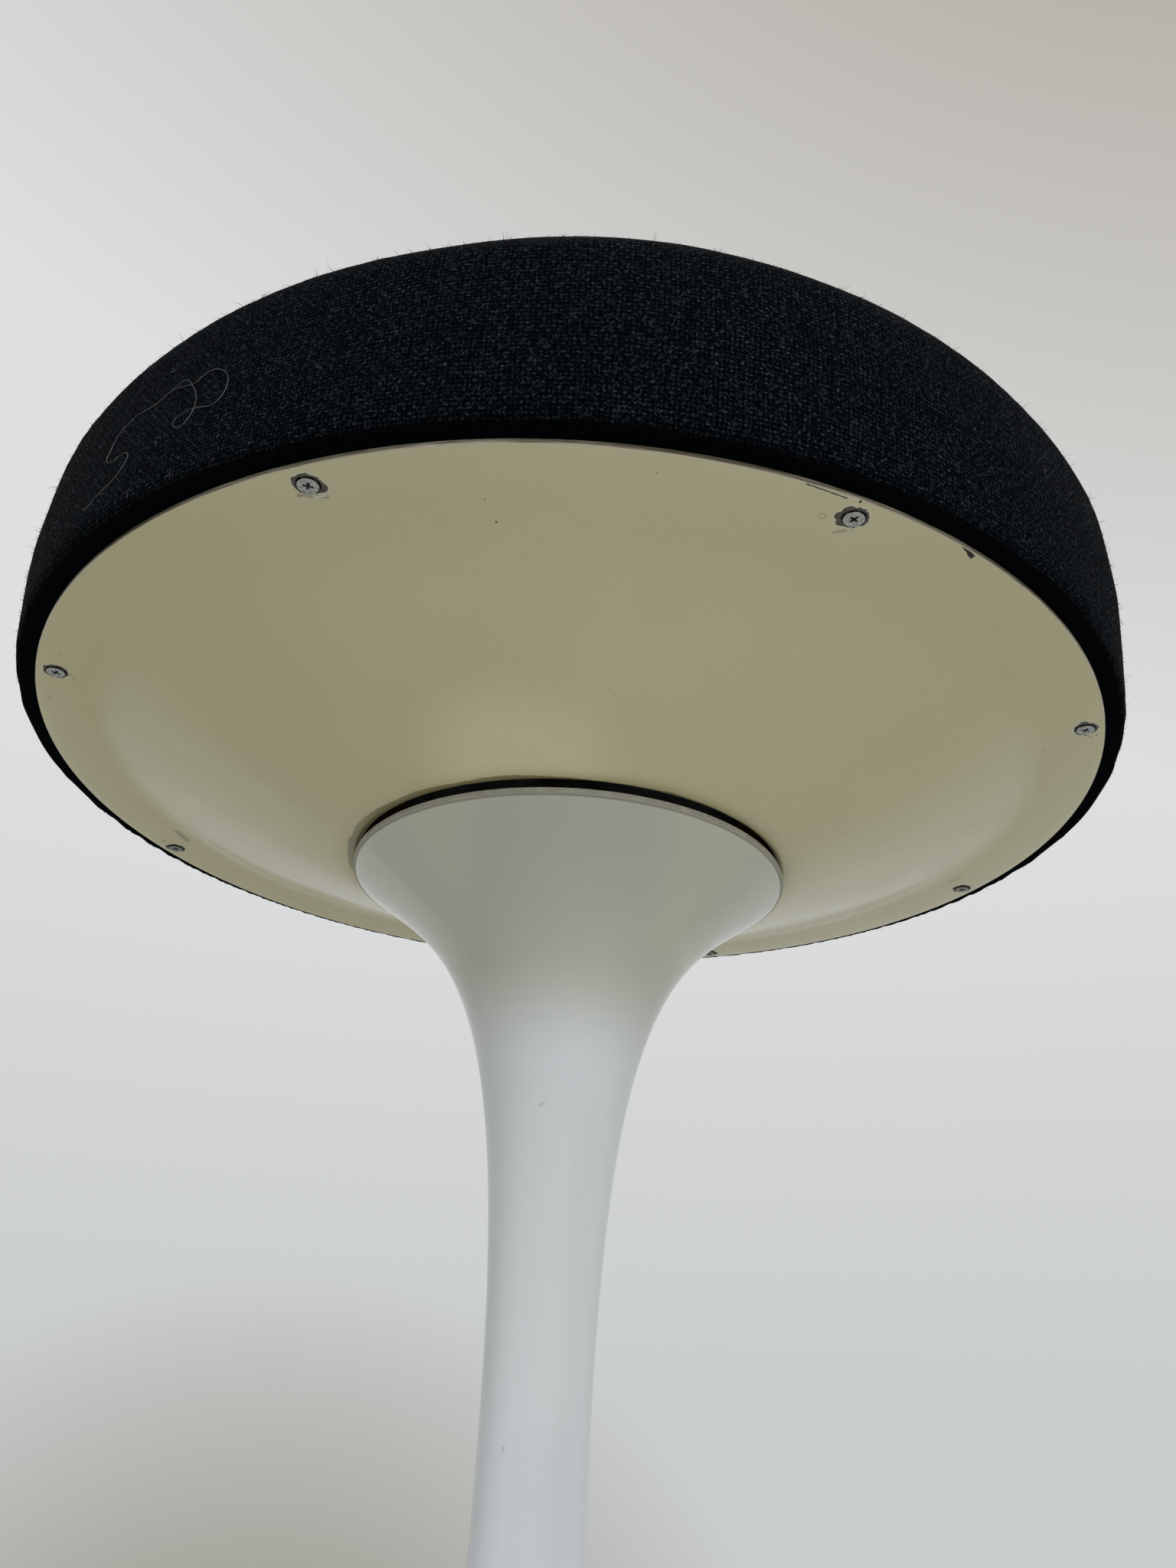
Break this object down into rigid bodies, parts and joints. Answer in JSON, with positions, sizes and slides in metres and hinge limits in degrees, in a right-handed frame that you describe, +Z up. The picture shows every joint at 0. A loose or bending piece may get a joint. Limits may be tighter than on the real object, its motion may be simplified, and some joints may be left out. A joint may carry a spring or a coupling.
{
  "type": "pedestal stool",
  "caption": "Round upholstered swivel stool: a drum cushion on a pressed metal pan that turns on a cast trumpet pedestal with a flat round foot.",
  "frame": {"origin": "centre of the foot, on the floor", "axes": "+Z up along the swivel's axis; +X along the two locking screws"},
  "size_m": [0.401, 0.401, 0.4299],
  "materials": {
    "pedestal_paint": "cool white satin paint over a smooth casting",
    "ring_rubber": "black moulded rubber, matt",
    "tube_steel": "ground bright steel, lightly oiled",
    "bush_nylon": "natural nylon",
    "black_steel": "blackened alloy steel socket screws",
    "spindle_steel": "ground bright steel",
    "zinc_steel": "bright zinc plate",
    "plate_steel": "plain hot rolled steel plate",
    "yellow_zinc": "yellow passivated zinc on steel",
    "board_plywood": "raw birch plywood",
    "pad_foam": "open-cell upholstery foam",
    "cover_wool": "near-black navy wool in a fine plain weave, slightly fuzzy",
    "staple_wire": "galvanised wire",
    "pan_paint": "cream enamel, worn grey at the rim and the screws",
    "screw_zinc": "dull zinc plate"
  },
  "bodies": {
    "pedestal": {"pedestal": "pedestal_paint", "foot_ring": "ring_rubber", "bearing_tube": "tube_steel", "upper_bush": "bush_nylon", "lower_bush": "bush_nylon", "grub_screws": "black_steel"},
    "seat": {"thrust_washer": "tube_steel", "spindle": "spindle_steel", "end_washer": "zinc_steel", "end_screw": "black_steel", "swivel_plate": "plate_steel", "plate_bolts": "zinc_steel", "spring_washers": "zinc_steel", "tee_nuts": "yellow_zinc", "seat_board": "board_plywood", "foam_pad": "pad_foam", "seat_cover": "cover_wool", "cover_staples": "staple_wire", "seat_pan": "pan_paint", "pan_screws": "screw_zinc"}
  },
  "joints": [
    {"name": "seat_swivel", "type": "hinge", "parent": "pedestal", "child": "seat", "pos_m": [0, 0, 0.34], "axis": [0, 0, 1], "continuous": true}
  ]
}
